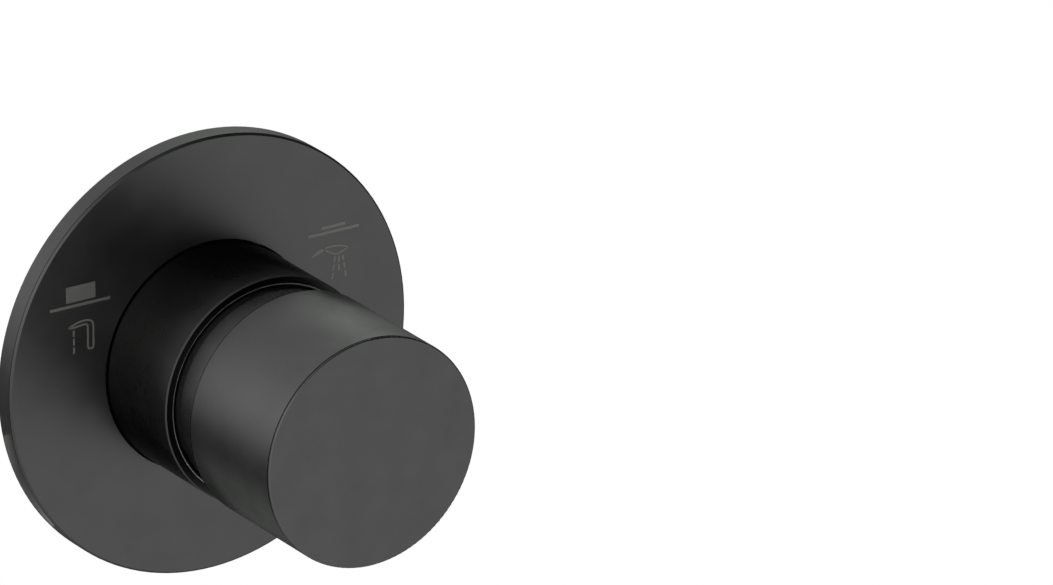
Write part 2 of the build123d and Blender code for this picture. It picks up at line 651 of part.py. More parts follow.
# Valve body: a cast barrel with three threaded ports, two chambers and the rear seat, on four feet
mouth_radius = bonnet_groove_radius + bonnet_ring_section + 2 * o_ring_clearance
middle_bore_radius = bonnet_tail_radius + fit_clearance
body_radius = body_diameter / 2
port_boss_radius = port_boss_diameter / 2
port_bead_radius = port_boss_radius + port_bead_height
port_planes = [
    Plane(origin=(0, -shower_port_at, 0), x_dir=(1, 0, 0), z_dir=(0, 0, 1)),
    Plane(origin=(0, -inlet_port_at, 0), x_dir=(0, 0, 1), z_dir=(1, 0, 0)),
    Plane(origin=(0, -spout_port_at, 0), x_dir=(1, 0, 0), z_dir=(0, 0, -1)),
]
passage_diameters = [shower_passage_diameter, port_passage_diameter, port_passage_diameter]
with BuildPart() as valve_body:
    with BuildSketch(facing_out(body_rear_at)):
        Circle(body_radius)
    extrude(amount=body_front_at - body_rear_at)
    for port_plane in port_planes:
        with BuildSketch(port_plane):
            Circle(port_boss_radius)
        extrude(amount=port_reach)
    cast_corners = valve_body.edges().filter_by(GeomType.LINE, reverse=True)
    fillet(cast_corners.filter_by(GeomType.CIRCLE, reverse=True), radius=casting_fillet)
    outer_rims = valve_body.edges().filter_by(GeomType.CIRCLE)
    chamfer(outer_rims, length=casting_chamfer)
    for port_plane in port_planes:
        with BuildSketch(port_plane.offset(port_reach - port_bead_length)):
            Circle(port_bead_radius)
        extrude(amount=port_bead_length)
    round_edges = valve_body.edges().filter_by(GeomType.CIRCLE)
    bead_edges = round_edges.filter_by(lambda edge: math.isclose(edge.radius, port_bead_radius))
    fillet(bead_edges, radius=port_bead_rounding)
    with BuildSketch(facing_out(body_rear_at)):
        for turn in (45, 135):
            SlotCenterToCenter(foot_spacing * math.sqrt(2), foot_width, rotation=turn)
    extrude(amount=foot_thickness)
    with BuildSketch(facing_out(body_rear_at)):
        with GridLocations(foot_spacing, foot_spacing, 2, 2):
            Circle(foot_pad_diameter / 2)
    extrude(amount=foot_thickness + foot_pad_height)
    with BuildSketch(facing_out(body_rear_at)):
        with GridLocations(foot_spacing, foot_spacing, 2, 2):
            Circle(foot_hole_diameter / 2)
    extrude(amount=foot_thickness + foot_pad_height, mode=Mode.SUBTRACT)
    bores = [
        (mouth_radius, body_front_at - mouth_depth, mouth_depth),
        (front_chamber_diameter / 2, bonnet_tail_at, body_front_at - mouth_depth - bonnet_tail_at),
        (middle_bore_radius, rear_seat_at - seat_lip_height, bonnet_tail_at - rear_seat_at + seat_lip_height),
        (seat_bore_radius, rear_chamber_at, rear_seat_web),
        (rear_chamber_diameter / 2, rear_chamber_end_at, rear_chamber_length),
    ]
    for bore_radius, bore_end_at, bore_length in bores:
        with BuildSketch(facing_out(bore_end_at)):
            Circle(bore_radius)
        extrude(amount=bore_length, mode=Mode.SUBTRACT)
    with BuildSketch(facing_out(rear_seat_at - seat_lip_height)):
        Circle(seat_bore_radius + seat_lip_width)
        Circle(seat_bore_radius, mode=Mode.SUBTRACT)
    extrude(amount=seat_lip_height)
    for port_plane, passage_diameter in zip(port_planes, passage_diameters):
        with BuildSketch(port_plane):
            Circle(passage_diameter / 2)
        extrude(amount=port_reach, mode=Mode.SUBTRACT)
        with BuildSketch(port_plane.offset(port_reach - port_thread_length)):
            Circle(port_thread_diameter / 2)
        extrude(amount=port_thread_length, mode=Mode.SUBTRACT)
        with BuildSketch(port_plane.offset(port_reach - port_mouth_chamfer)):
            Circle(port_thread_diameter / 2)
        extrude(amount=port_mouth_chamfer, taper=-45, mode=Mode.SUBTRACT)
save(valve_body, "valve_body")
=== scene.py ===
"""Looks for a concealed push-pull diverter valve: satin anthracite trim on the wall, a brass body in it.

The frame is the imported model's own: the origin is the centre of the wall plate's back face, -Y points
out of the wall and +Z up. Names that end in _mm hold millimetres, and Blender is given metres.
"""
import json
import math

import bmesh
import bpy
from mathutils import Matrix, Vector


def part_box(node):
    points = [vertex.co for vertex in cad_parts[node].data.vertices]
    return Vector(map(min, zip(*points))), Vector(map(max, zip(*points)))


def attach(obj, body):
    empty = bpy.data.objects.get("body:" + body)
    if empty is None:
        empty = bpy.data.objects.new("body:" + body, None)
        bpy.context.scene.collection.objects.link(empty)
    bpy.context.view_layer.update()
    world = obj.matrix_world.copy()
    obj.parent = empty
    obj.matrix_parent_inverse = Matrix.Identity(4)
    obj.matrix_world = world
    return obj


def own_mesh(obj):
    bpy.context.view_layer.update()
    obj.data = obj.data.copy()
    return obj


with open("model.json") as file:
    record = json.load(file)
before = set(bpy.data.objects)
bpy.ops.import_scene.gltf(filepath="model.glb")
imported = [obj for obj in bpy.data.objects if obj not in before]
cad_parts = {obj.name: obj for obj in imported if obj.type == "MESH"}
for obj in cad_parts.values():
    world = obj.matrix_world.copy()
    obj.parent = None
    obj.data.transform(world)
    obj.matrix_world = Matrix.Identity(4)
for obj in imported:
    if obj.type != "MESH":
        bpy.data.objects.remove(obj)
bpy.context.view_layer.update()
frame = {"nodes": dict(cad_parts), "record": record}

MM = 0.001

# The photograph's frame and the camera that fits the plate, the sleeve and the knob in it
photo_width_px = 1053
photo_height_px = 585
camera_azimuth_deg = -33.34
camera_elevation_deg = 22.03
camera_distance_mm = 2170.0
camera_focal_px = 11183.2
origin_across_px = 197.67
origin_down_px = 347.41
sensor_width_mm = 36.0
camera_reach_m = (0.05, 50.0)

# The pictograms on the plate's face, as a thin raised layer. Their points are measured from the plate's
# centre: across to the right, and up.
ink_height_mm = 0.02
ink_weld_mm = 0.001
symbol_curve_steps = 6
symbol_line_mm = 0.62
symbol_outline_mm = 0.42
symbol_stream_mm = 0.42
shower_outline_mm = 0.34
spout_block_mm = ((-32.22, 17.80), (-25.64, 21.08))
spout_base_mm = ((-35.85, 17.00), (-22.38, 17.00))
spout_outline_mm = (
    (-31.62, 12.62), (-30.34, 13.18), (-29.21, 13.42), (-28.09, 13.50), (-27.08, 13.34), (-26.45, 12.86),
    (-26.22, 12.10), (-26.22, 10.00), (-26.22, 8.00), (-26.46, 7.50), (-27.22, 7.50), (-27.46, 8.00),
    (-27.46, 10.00), (-27.46, 11.80), (-27.58, 12.42), (-28.05, 12.70), (-29.23, 12.62), (-30.35, 12.52),
)
spout_stream_mm = ((-30.62, 11.93), (-30.62, 7.14))
shower_bar_mm = ((25.71, 20.66), (31.19, 20.66))
shower_base_mm = ((22.73, 19.55), (34.37, 19.55))
shower_handle_mm = ((23.41, 15.09), (24.91, 15.78), (26.40, 16.16))
shower_head_mm = (
    (26.40, 16.16), (27.68, 16.46), (29.52, 16.33), (30.90, 15.96), (31.66, 15.48), (30.30, 14.92),
    (28.93, 14.70), (27.67, 15.30),
)
shower_streams_mm = (
    ((28.77, 14.23), (28.08, 9.60)),
    ((29.73, 14.23), (29.66, 11.10)),
    ((30.56, 14.19), (31.27, 9.60)),
)
stream_dash_mm = 1.35
stream_gap_mm = 0.42
shower_handle_widths_mm = (0.45, 0.75, 0.5)

# Pipe threads in the ports: G 1/2, which has 14 threads to the inch
thread_pitch_mm = 25.4 / 14
thread_depth_mm = 1.16
thread_crest_mm = 0.3
thread_root_mm = 1.7
thread_lead_in_mm = 1.2
thread_length_mm = 12.0
thread_steps_per_turn = 48

# Painted lines of shade and highlight at the edges, the edges themselves, and lands on the pieces
hairline_mm = 0.2
edge_line_mm = 0.3
plate_chamfer_mm = 0.4
knob_chamfer_mm = 0.3
sleeve_chamfer_mm = 0.25
sleeve_lip_radius_mm = 21.7
knob_gap_mm = 8.6
ring_past_face_mm = 0.01
ring_past_edge_mm = 1.0
body_bore_radius_mm = 15.2
port_bore_margin_mm = 1.0
land_depth_mm = 0.05
foot_spacing_mm = 48.0
pad_radius_mm = 5.8
pad_top_mm = 5.95

# The anthracite coat: how light its painted lines of shade and its neck with painted light are against the
# rest, and how rough it is, also at the sleeve's edges with painted highlights
hairline_shade = 0.25
edge_line_shade = 0.12
neck_shade = 1.3
plate_roughness = (0.34, 0.38)
tube_roughness = (0.26, 0.3)
bright_edge_roughness = 0.6

# Grain sizes of the patterns in the finishes, and the span of a pattern's values that does the work
dimple_mm = 0.3
cloud_mm = 7.0
laser_speck_mm = 0.15
cast_pit_mm = 0.8
cast_stain_mm = 18.0
lathe_ring_mm = 0.35
thread_tear_mm = 0.25
scratch_mm = 0.2
rubber_bloom_mm = 1.5
foam_cell_mm = 0.6
acetal_ring_mm = 0.3
noise_span = (0.3, 0.7)
foam_span = (0.0, 0.6)

# Surroundings
wall_half_size_mm = 1600.0
wall_hole_radius_mm = 44.2
wall_setback_mm = 0.2
wall_steps = 64
lit_wall_arc_deg = (191, 222)
lit_wall_radii_mm = (45.3, 47.0)
lit_wall_light = 2.8
lit_wall_setback_mm = 0.15
floor_drop_mm = 450.0

# Light that the metal mirrors, by the angle round the knob's axis in degrees: 0 is right and 90 is up.
# The satin bands along the knob come from the light behind the wall, and the flat faces' tone from the
# light in front. Each table has pairs of an angle and a level.
light_behind = (
    (0, 1.5), (13, 7.0), (29, 7.0), (45, 3.4), (61, 1.8), (77, 1.38), (93, 1.22), (109, 1.22), (125, 1.3),
    (141, 1.44), (157, 1.62), (173, 1.56), (189, 1.08), (205, 0.47), (221, 0.3), (237, 0.95), (253, 2.3),
    (269, 3.4), (285, 1.0), (301, 0.12), (317, 0.03), (341, 0.2), (360, 1.5),
)
light_in_front = (
    (0, 0.6), (21, 0.1), (56, 0.1), (75, 0.25), (93, 0.45), (125, 1.35), (141, 2.4), (157, 2.7), (173, 2.4),
    (190, 1.8), (220, 1.2), (268, 1.3), (300, 1.5), (324, 0.95), (345, 0.98), (360, 0.6),
)
light_beside = (
    (0, 0.4), (21, 0.1), (56, 0.06), (93, 0.35), (125, 0.8), (157, 1.0), (190, 0.75), (215, 0.7),
    (268, 0.7), (324, 0.85), (360, 0.4),
)
brightest_light = 8.0

# How far a direction points into the wall, from -1 to 1, where the next light starts and where it is full
beside_blend = (0.55, 0.3)
front_blend = (-0.58, -0.7)

# Places that the pieces' own boxes give
plate_face_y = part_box("wall_plate")[0].y
sleeve_low, sleeve_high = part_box("sleeve")
knob_front_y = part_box("knob")[0].y


def linear(hex_colour):
    """Turns an sRGB hex colour into linear red, green, blue and alpha."""
    channels = [int(hex_colour[start:start + 2], 16) / 255 for start in (1, 3, 5)]
    return [c / 12.92 if c <= 0.04045 else ((c + 0.055) / 1.055) ** 2.4 for c in channels] + [1.0]


def add_node(tree, kind, inputs=None, **settings):
    """Adds a node with its settings, and sets or links each named or numbered input.

    A node that is given as an input is linked by its first output in use.
    """
    node = tree.nodes.new(kind)
    for setting, value in settings.items():
        setattr(node, setting, value)
    for name, value in (inputs or {}).items():
        if isinstance(value, bpy.types.Node):
            value = next(output for output in value.outputs if output.enabled)
        if isinstance(value, bpy.types.NodeSocket):
            tree.links.new(value, node.inputs[name])
        else:
            node.inputs[name].default_value = value
    return node


def start_material(name):
    """Makes an empty material and gives its tree and its Object coordinates."""
    material = bpy.data.materials.new(name)
    material.use_nodes = True
    material.node_tree.nodes.clear()
    tree = material.node_tree
    return material, tree, add_node(tree, "ShaderNodeTexCoord").outputs["Object"]


def finish_surface(tree, colour, roughness, height, bump_mm, **shader_inputs):
    """Ends a material in a Principled shader, with a pattern's height as bump."""
    bump = add_node(tree, "ShaderNodeBump", {"Height": height, "Distance": bump_mm * MM, "Strength": 1.0})
    inputs = {"Base Color": colour, "Roughness": roughness, "Normal": bump}
    inputs.update({name.replace("_", " "): value for name, value in shader_inputs.items()})
    shader = add_node(tree, "ShaderNodeBsdfPrincipled", inputs)
    add_node(tree, "ShaderNodeOutputMaterial", {"Surface": shader})


def by_pattern(tree, pattern, low, high, span=noise_span):
    """A number between two others, or a colour between two hex colours, by a pattern's value."""
    share_inputs = {"Value": pattern, "From Min": span[0], "From Max": span[1]}
    share = add_node(tree, "ShaderNodeMapRange", share_inputs)
    if isinstance(low, str):
        colours = {"Factor": share, "A": linear(low), "B": linear(high)}
        return add_node(tree, "ShaderNodeMix", colours, data_type="RGBA")
    return add_node(tree, "ShaderNodeMix", {"Factor": share, "A": low, "B": high})


def within(tree, value, low_mm, high_mm):
    """1 where a coordinate or a radius lies in a stretch, and 0 outside."""
    after = add_node(tree, "ShaderNodeMath", {0: value, 1: low_mm * MM}, operation="GREATER_THAN")
    before = add_node(tree, "ShaderNodeMath", {0: value, 1: high_mm * MM}, operation="LESS_THAN")
    return add_node(tree, "ShaderNodeMath", {0: after, 1: before}, operation="MULTIPLY")


def near_line(tree, place, axis, through, radius_mm):
    """1 near a straight line that runs along X, Y or Z through a point, and 0 farther from it."""
    # Only the two coordinates across the line count.
    across = [1.0 - abs(part) for part in axis]
    apart = add_node(tree, "ShaderNodeVectorMath", {0: place, 1: through}, operation="SUBTRACT")
    flat = add_node(tree, "ShaderNodeVectorMath", {0: apart, 1: across}, operation="MULTIPLY")
    distance = add_node(tree, "ShaderNodeVectorMath", {0: flat}, operation="LENGTH")
    return add_node(tree, "ShaderNodeMath", {0: distance, 1: radius_mm * MM}, operation="LESS_THAN")


def satin_anthracite(name, roughness_range, bands=(), rings=()):
    """Blasted brass under a vapour-deposited coat: dark, even, and softly mirroring what stands near it.

    The coat mirrors little at a grazing angle, so its edge tint is dark. Bands are stretches along the axis
    with painted shade or painted light of their own, such as the painted line of shadow where the side
    meets a turned edge. Rings are such stretches between two radii, with a painted highlight or painted
    shade and a roughness of their own.
    """
    material, tree, place = start_material(name)
    # The blasting leaves dimples of about 0.1 mm, drawn at 0.3 mm so that they show at all.
    dimple_inputs = {"Vector": place, "Scale": 1 / (dimple_mm * MM), "Detail": 3.0}
    dimples = add_node(tree, "ShaderNodeTexNoise", dimple_inputs)
    clouds = add_node(tree, "ShaderNodeTexNoise", {"Vector": place, "Scale": 1 / (cloud_mm * MM)})
    colour = by_pattern(tree, clouds, "#4d4e4d", "#515251")
    roughness = by_pattern(tree, clouds, *roughness_range)
    along = add_node(tree, "ShaderNodeSeparateXYZ", {0: place}).outputs["Y"]
    for (low_mm, high_mm), band_shade in bands:
        there = within(tree, along, low_mm, high_mm)
        kept = add_node(tree, "ShaderNodeMix", {"Factor": there, "A": 1.0, "B": band_shade})
        colour = add_node(tree, "ShaderNodeVectorMath", {0: colour, "Scale": kept}, operation="SCALE")
    across = add_node(tree, "ShaderNodeVectorMath", {0: place, 1: (1, 0, 1)}, operation="MULTIPLY")
    radius = add_node(tree, "ShaderNodeVectorMath", {0: across}, operation="LENGTH")
    for (low_mm, high_mm), (inner_mm, outer_mm), ring_hex, ring_roughness in rings:
        limits = {0: within(tree, along, low_mm, high_mm), 1: within(tree, radius, inner_mm, outer_mm)}
        there = add_node(tree, "ShaderNodeMath", limits, operation="MULTIPLY")
        tints = {"Factor": there, "A": colour, "B": linear(ring_hex)}
        colour = add_node(tree, "ShaderNodeMix", tints, data_type="RGBA")
        roughness = add_node(tree, "ShaderNodeMix", {"Factor": there, "A": roughness, "B": ring_roughness})
    edge_tint = linear("#959595")
    finish_surface(tree, colour, roughness, dimples, bump_mm=0.0015, Metallic=1.0, Specular_Tint=edge_tint)
    return material


def laser_mark():
    """The marks on the plate: the coat burnt matt and a little lighter, so they hardly mirror the knob."""
    material, tree, place = start_material("laser_marked_coat")
    # The laser's spots are about 0.05 mm wide, drawn at 0.15 mm so that they show.
    specks = add_node(tree, "ShaderNodeTexNoise", {"Vector": place, "Scale": 1 / (laser_speck_mm * MM)})
    colour = by_pattern(tree, specks, "#767771", "#7d7e79")
    finish_surface(tree, colour, by_pattern(tree, specks, 0.6, 0.7), specks, bump_mm=0.004, Metallic=1.0)
    return material


def cast_brass():
    """Die-cast brass, tumbled: a matt skin with soft pits. Its bores, mouths and pads are cut bright."""
    material, tree, place = start_material("cast_brass_body")
    apart = add_node(tree, "ShaderNodeSeparateXYZ", {0: place}).outputs
    body_low, body_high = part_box("valve_body")
    land = land_depth_mm * MM
    # The ports' mouths lie equally far from the body's axis: one at +X, one at +Z and one at -Z.
    upright = add_node(tree, "ShaderNodeMath", {0: apart["Z"]}, operation="ABSOLUTE")
    outwards = add_node(tree, "ShaderNodeMath", {0: apart["X"], 1: upright}, operation="MAXIMUM")
    # The four feet are folded onto one, and each has a round pad for its screw's head.
    folded = add_node(tree, "ShaderNodeVectorMath", {0: place}, operation="ABSOLUTE")
    foot = foot_spacing_mm / 2 * MM
    pad = near_line(tree, folded, (0, 1, 0), (foot, 0, foot), pad_radius_mm)
    pad_top = body_high.y - pad_top_mm * MM
    before_pad_top = add_node(tree, "ShaderNodeMath", {0: apart["Y"], 1: pad_top}, operation="LESS_THAN")
    machined = [
        near_line(tree, place, (0, 1, 0), (0, 0, 0), body_bore_radius_mm),
        add_node(tree, "ShaderNodeMath", {0: outwards, 1: body_high.z - land}, operation="GREATER_THAN"),
        add_node(tree, "ShaderNodeMath", {0: apart["Y"], 1: body_low.y + land}, operation="LESS_THAN"),
        add_node(tree, "ShaderNodeMath", {0: apart["Y"], 1: body_high.y - land}, operation="GREATER_THAN"),
        add_node(tree, "ShaderNodeMath", {0: pad, 1: before_pad_top}, operation="MULTIPLY"),
    ]
    for mount in frame["record"]["mounts"]:
        if mount["kind"] == "threaded_hole":
            bore_radius_mm = mount["dims"]["r_mm"] + port_bore_margin_mm
            bore = near_line(tree, place, mount["axis"], mount["pos_m"], bore_radius_mm)
            # The bore's line runs on through the body, and only its own side of the body is cut.
            side_inputs = {0: place, 1: mount["axis"]}
            side = add_node(tree, "ShaderNodeVectorMath", side_inputs, operation="DOT_PRODUCT")
            own_side = add_node(tree, "ShaderNodeMath", {0: side, 1: 0.0}, operation="GREATER_THAN")
            machined.append(add_node(tree, "ShaderNodeMath", {0: bore, 1: own_side}, operation="MULTIPLY"))
    cut = machined[0]
    for face in machined[1:]:
        cut = add_node(tree, "ShaderNodeMath", {0: cut, 1: face}, operation="MAXIMUM")
    pit_inputs = {"Vector": place, "Scale": 1 / (cast_pit_mm * MM), "Detail": 6.0}
    pits = add_node(tree, "ShaderNodeTexNoise", pit_inputs)
    stain_inputs = {"Vector": place, "Scale": 1 / (cast_stain_mm * MM), "Detail": 3.0}
    stains = add_node(tree, "ShaderNodeTexNoise", stain_inputs)
    tints = {"Factor": cut, "A": by_pattern(tree, stains, "#a88d57", "#bca266"), "B": linear("#d8b969")}
    colour = add_node(tree, "ShaderNodeMix", tints, data_type="RGBA")
    skin_roughness = by_pattern(tree, pits, 0.4, 0.5)
    roughness = add_node(tree, "ShaderNodeMix", {"Factor": cut, "A": skin_roughness, "B": 0.24})
    uncut = add_node(tree, "ShaderNodeMath", {0: 1.0, 1: cut}, operation="SUBTRACT")
    relief = add_node(tree, "ShaderNodeMath", {0: pits, 1: uncut}, operation="MULTIPLY")
    finish_surface(tree, colour, roughness, relief, bump_mm=0.035, Metallic=1.0)
    return material


def turned_brass():
    """Free-cutting brass off the lathe: bright, with fine rings round the axis from the tool."""
    material, tree, place = start_material("turned_brass")
    # Tool rings stand 0.12 mm apart along the axis, drawn at 0.35 mm so that they show.
    drawn_out = add_node(tree, "ShaderNodeMapping", {"Vector": place, "Scale": (0.04, 1.0, 0.04)})
    rings = add_node(tree, "ShaderNodeTexNoise", {"Vector": drawn_out, "Scale": 1 / (lathe_ring_mm * MM)})
    colour = by_pattern(tree, rings, "#c9a555", "#dcbc6c")
    finish_surface(tree, colour, by_pattern(tree, rings, 0.2, 0.3), rings, bump_mm=0.006, Metallic=1.0)
    return material


def thread_brass():
    """Cut pipe thread in the brass ports: bright flanks with a trace of cutting oil."""
    material, tree, place = start_material("cut_thread_brass")
    tear_inputs = {"Vector": place, "Scale": 1 / (thread_tear_mm * MM), "Detail": 4.0}
    tears = add_node(tree, "ShaderNodeTexNoise", tear_inputs)
    colour = by_pattern(tree, tears, "#b8954b", "#dcbc6c")
    finish_surface(tree, colour, by_pattern(tree, tears, 0.22, 0.36), tears, bump_mm=0.01, Metallic=1.0)
    return material


def stainless_steel():
    """Drawn and rolled stainless steel: bright grey with faint scratches."""
    material, tree, place = start_material("drawn_stainless_steel")
    # Scratches are some 0.02 mm wide, drawn at 0.2 mm so that they show.
    drawn_out = add_node(tree, "ShaderNodeMapping", {"Vector": place, "Scale": (1.0, 0.15, 1.0)})
    scratch_inputs = {"Vector": drawn_out, "Scale": 1 / (scratch_mm * MM), "Detail": 3.0}
    scratches = add_node(tree, "ShaderNodeTexNoise", scratch_inputs)
    colour = by_pattern(tree, scratches, "#b9b8b4", "#cfcecb")
    roughness = by_pattern(tree, scratches, 0.2, 0.32)
    finish_surface(tree, colour, roughness, scratches, bump_mm=0.003, Metallic=1.0)
    return material


def seal_rubber():
    """Moulded EPDM: near black, with the dull bloom that rubber gets in store."""
    material, tree, place = start_material("moulded_seal_rubber")
    bloom_inputs = {"Vector": place, "Scale": 1 / (rubber_bloom_mm * MM), "Detail": 5.0}
    bloom = add_node(tree, "ShaderNodeTexNoise", bloom_inputs)
    colour = by_pattern(tree, bloom, "#17181a", "#26272a")
    finish_surface(tree, colour, by_pattern(tree, bloom, 0.45, 0.6), bloom, bump_mm=0.01)
    return material


def sealing_foam():
    """Closed-cell foam, cut to a flat ring: dark grey with open cells of about half a millimetre."""
    material, tree, place = start_material("closed_cell_foam")
    cells = add_node(tree, "ShaderNodeTexVoronoi", {"Vector": place, "Scale": 1 / (foam_cell_mm * MM)})
    colour = by_pattern(tree, cells, "#2b2c2e", "#54565a", foam_span)
    finish_surface(tree, colour, 0.85, cells, bump_mm=0.12)
    return material


def guide_plastic():
    """Acetal, machined from tube: waxy off-white with a soft gloss."""
    material, tree, place = start_material("machined_acetal")
    # Tool rings stand 0.1 mm apart along the axis, drawn at 0.3 mm so that they show.
    drawn_out = add_node(tree, "ShaderNodeMapping", {"Vector": place, "Scale": (0.05, 1.0, 0.05)})
    rings = add_node(tree, "ShaderNodeTexNoise", {"Vector": drawn_out, "Scale": 1 / (acetal_ring_mm * MM)})
    colour = by_pattern(tree, rings, "#dedbd0", "#ebe8df")
    finish_surface(tree, colour, by_pattern(tree, rings, 0.3, 0.4), rings, bump_mm=0.004)
    return material


def plain_surroundings(name, paint_hex, light, mirrored_light=None):
    """A sheet that glows evenly to the eye, and can be seen through from behind.

    It lets mirrored light by, unless it has a light of its own for metal to mirror.
    """
    material, tree, _ = start_material(name)
    rays = add_node(tree, "ShaderNodeLightPath").outputs
    paint = add_node(tree, "ShaderNodeBsdfDiffuse", {"Color": linear(paint_hex)})
    glow = add_node(tree, "ShaderNodeEmission", {"Color": linear("#ffffff"), "Strength": light})
    front = add_node(tree, "ShaderNodeMixShader", {0: rays["Is Camera Ray"], 1: paint, 2: glow})
    passes = add_node(tree, "ShaderNodeNewGeometry").outputs["Backfacing"]
    if mirrored_light is None:
        either = {0: passes, 1: rays["Is Glossy Ray"]}
        passes = add_node(tree, "ShaderNodeMath", either, operation="MAXIMUM")
    else:
        glint_inputs = {"Color": linear("#ffffff"), "Strength": mirrored_light}
        glint = add_node(tree, "ShaderNodeEmission", glint_inputs)
        front = add_node(tree, "ShaderNodeMixShader", {0: rays["Is Glossy Ray"], 1: front, 2: glint})
    clear = add_node(tree, "ShaderNodeBsdfTransparent")
    both = add_node(tree, "ShaderNodeMixShader", {0: passes, 1: front, 2: clear})
    add_node(tree, "ShaderNodeOutputMaterial", {"Surface": both})
    return material


def new_piece(name, mesh, body, material):
    """Puts a finished mesh in the scene as a piece of the object."""
    piece = bpy.data.objects.new(name, mesh)
    bpy.context.scene.collection.objects.link(piece)
    mesh.materials.clear()
    mesh.materials.append(material)
    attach(piece, body)
    return piece


def smooth_path(points, closed):
    """Points along a smooth curve through the given ones, which bends evenly from each to the next."""
    count = len(points)
    spans = count if closed else count - 1
    path = []
    for span in range(spans):
        if closed:
            a, b, c, d = (Vector(points[(span + offset) % count]) for offset in (-1, 0, 1, 2))
        else:
            a, b, c, d = (Vector(points[min(max(span + offset, 0), count - 1)]) for offset in (-1, 0, 1, 2))
        bend = 2 * a - 5 * b + 4 * c - d
        twist = 3 * b - a - 3 * c + d
        for step in range(symbol_curve_steps):
            t = step / symbol_curve_steps
            path.append(0.5 * (2 * b + (c - a) * t + bend * t * t + twist * t ** 3))
    if not closed:
        path.append(Vector(points[-1]))
    return path


def on_plate(corner_mm):
    """A point of a symbol as a place on the plate's face."""
    return Vector((corner_mm[0] * MM, plate_face_y, corner_mm[1] * MM))


def ribbon(mesh, path, widths, closed=False):
    """Adds a flat stroke along a path on the plate's face. widths has one value for each point."""
    count = len(path)
    edges = []
    for index, point in enumerate(path):
        before = path[index - 1] if index or closed else point
        after = path[(index + 1) % count] if index < count - 1 or closed else point
        along = (after - before).normalized()
        across = Vector((-along.y, along.x)) * widths[index] / 2
        edges.append([mesh.verts.new(on_plate(corner)) for corner in (point + across, point - across)])
    for index in range(count if closed else count - 1):
        left, right = edges[index], edges[(index + 1) % count]
        mesh.faces.new((left[0], left[1], right[1], right[0]))


def stroke(mesh, ends, width_mm):
    """Adds a straight stroke between two points."""
    ribbon(mesh, [Vector(end) for end in ends], [width_mm, width_mm])


def dashes(mesh, ends, width_mm):
    """Adds a dashed line between two points, with dashes and gaps of a set length."""
    start, end = (Vector(point) for point in ends)
    length = (end - start).length
    along = (end - start) / length
    count = max(1, round((length + stream_gap_mm) / (stream_dash_mm + stream_gap_mm)))
    dash = (length - (count - 1) * stream_gap_mm) / count
    for index in range(count):
        first = start + along * index * (dash + stream_gap_mm)
        stroke(mesh, (first, first + along * dash), width_mm)


def symbol(name, draw):
    """Makes one symbol as a thin raised layer on the plate's face."""
    flat = bmesh.new()
    draw(flat)
    bmesh.ops.remove_doubles(flat, verts=flat.verts, dist=ink_weld_mm * MM)
    bmesh.ops.recalc_face_normals(flat, faces=flat.faces)
    raised = bmesh.ops.extrude_face_region(flat, geom=flat.faces[:])
    tops = [item for item in raised["geom"] if isinstance(item, bmesh.types.BMVert)]
    bmesh.ops.translate(flat, verts=tops, vec=Vector((0, -ink_height_mm * MM, 0)))
    bmesh.ops.recalc_face_normals(flat, faces=flat.faces)
    mesh = bpy.data.meshes.new(name)
    flat.to_mesh(mesh)
    flat.free()
    return new_piece(name, mesh, "fixed_valve", laser_mark_material)


def draw_spout_symbol(mesh):
    """Knob out, over a bath spout: a tall block on a line, and a spout with one stream."""
    (left, bottom), (right, top) = spout_block_mm
    middle = (bottom + top) / 2
    stroke(mesh, ((left, middle), (right, middle)), top - bottom)
    stroke(mesh, spout_base_mm, symbol_line_mm)
    outline = smooth_path(spout_outline_mm, closed=True)
    ribbon(mesh, outline, [symbol_outline_mm] * len(outline), closed=True)
    dashes(mesh, spout_stream_mm, symbol_stream_mm)


def draw_shower_symbol(mesh):
    """Knob in, over a hand shower: a thin bar on a line, and a hand shower with three streams."""
    stroke(mesh, shower_bar_mm, symbol_line_mm)
    stroke(mesh, shower_base_mm, symbol_line_mm)
    handle = smooth_path(shower_handle_mm, closed=False)
    first, middle, last = shower_handle_widths_mm
    half = (len(handle) - 1) / 2
    widths = []
    for index in range(len(handle)):
        share = index / half
        if share < 1:
            widths.append(first + (middle - first) * share)
        else:
            widths.append(middle + (last - middle) * (share - 1))
    ribbon(mesh, handle, widths)
    head = smooth_path(shower_head_mm, closed=True)
    ribbon(mesh, head, [shower_outline_mm] * len(head), closed=True)
    for ends in shower_streams_mm:
        dashes(mesh, ends, symbol_stream_mm)


